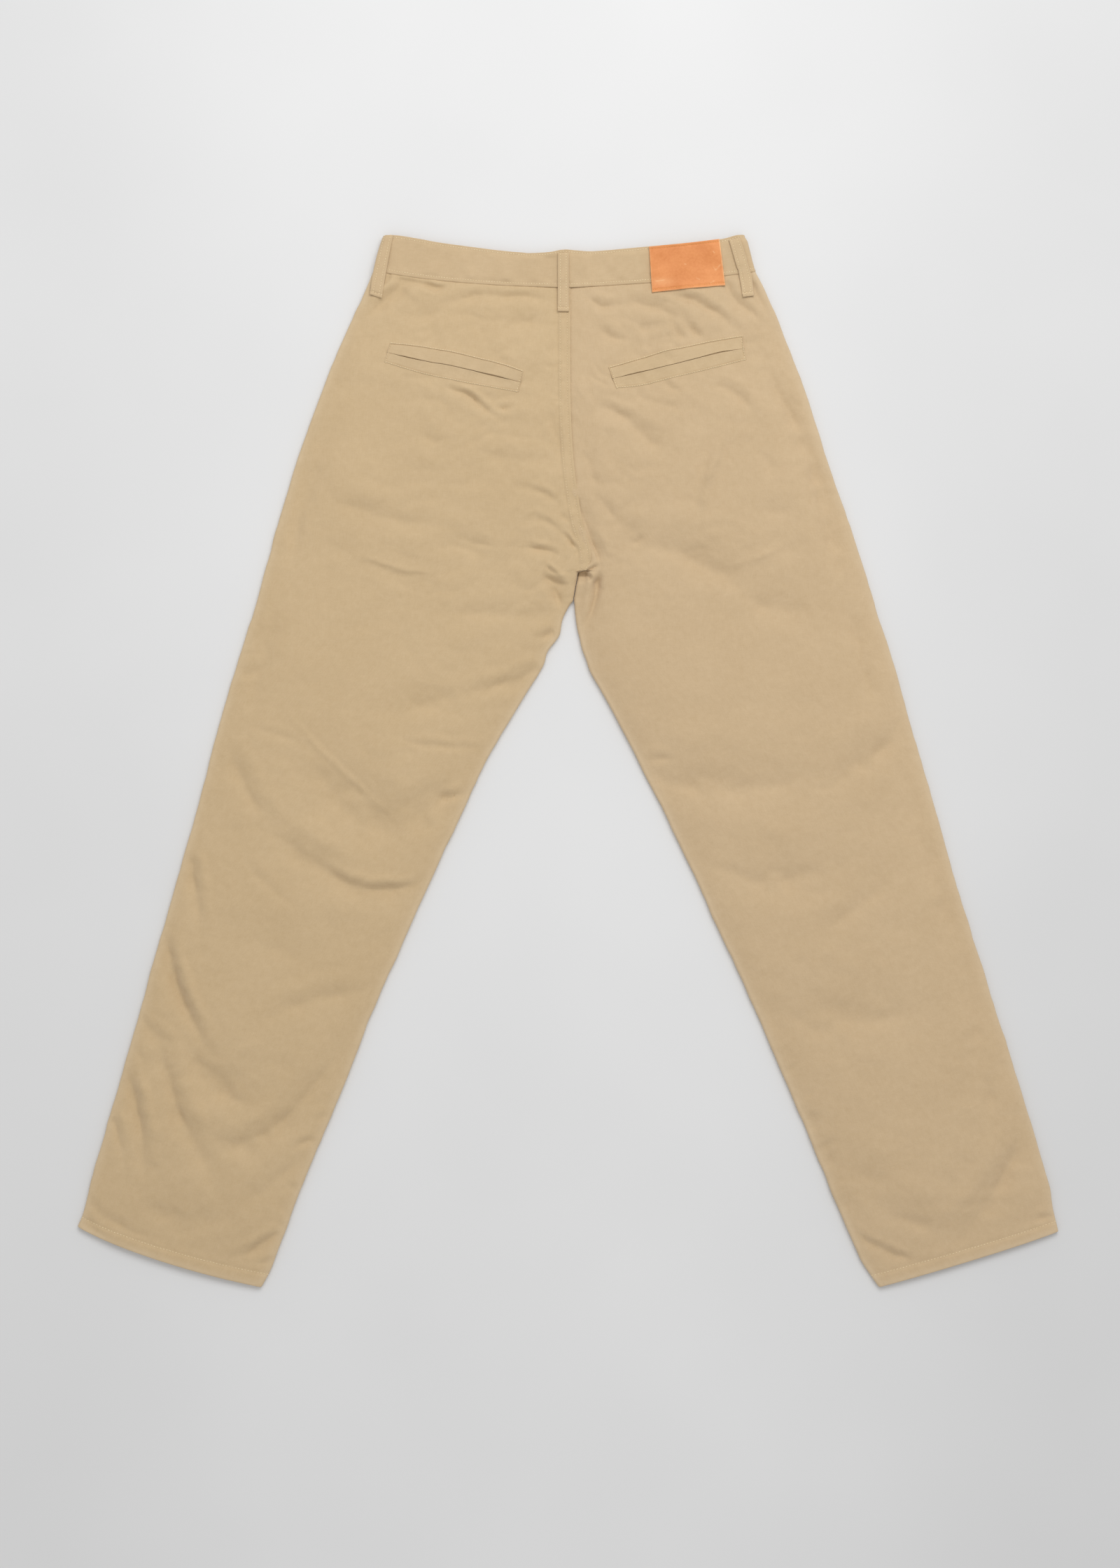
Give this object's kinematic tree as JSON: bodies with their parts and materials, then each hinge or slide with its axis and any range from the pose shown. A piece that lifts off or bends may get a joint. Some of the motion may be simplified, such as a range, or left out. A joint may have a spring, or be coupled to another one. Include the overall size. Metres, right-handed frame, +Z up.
{
  "type": "chino trousers",
  "caption": "Chino trousers laid flat, back side up: straight tapered legs, welt back pockets, waistband with belt loops and a plain leather patch.",
  "frame": {"origin": "centre of the bounding box, on the surface the trousers lie on", "axes": "+Z up from the surface, out of the seat side; +Y towards the waist; +X towards the wearer's right side, which is the leg on the right seen from above with the waist at the top"},
  "size_m": [1.0072, 1.08, 0.0147],
  "materials": {
    "twill": "brushed cotton twill, warm beige",
    "leather_patch": "smooth tan leather, bare",
    "button": "horn-brown, half gloss"
  },
  "bodies": {
    "root": {"back_left": "twill", "back_right": "twill", "front_left": "twill", "front_right": "twill", "waistband_left": "twill", "waistband_right": "twill", "facing_left": "twill", "facing_right": "twill", "loop_back_centre": "twill", "loop_back_left": "twill", "loop_back_right": "twill", "loop_front_left": "twill", "loop_front_right": "twill", "welt_left_upper": "twill", "welt_left_lower": "twill", "welt_right_upper": "twill", "welt_right_lower": "twill", "patch": "leather_patch", "waist_button": "button"}
  },
  "joints": []
}
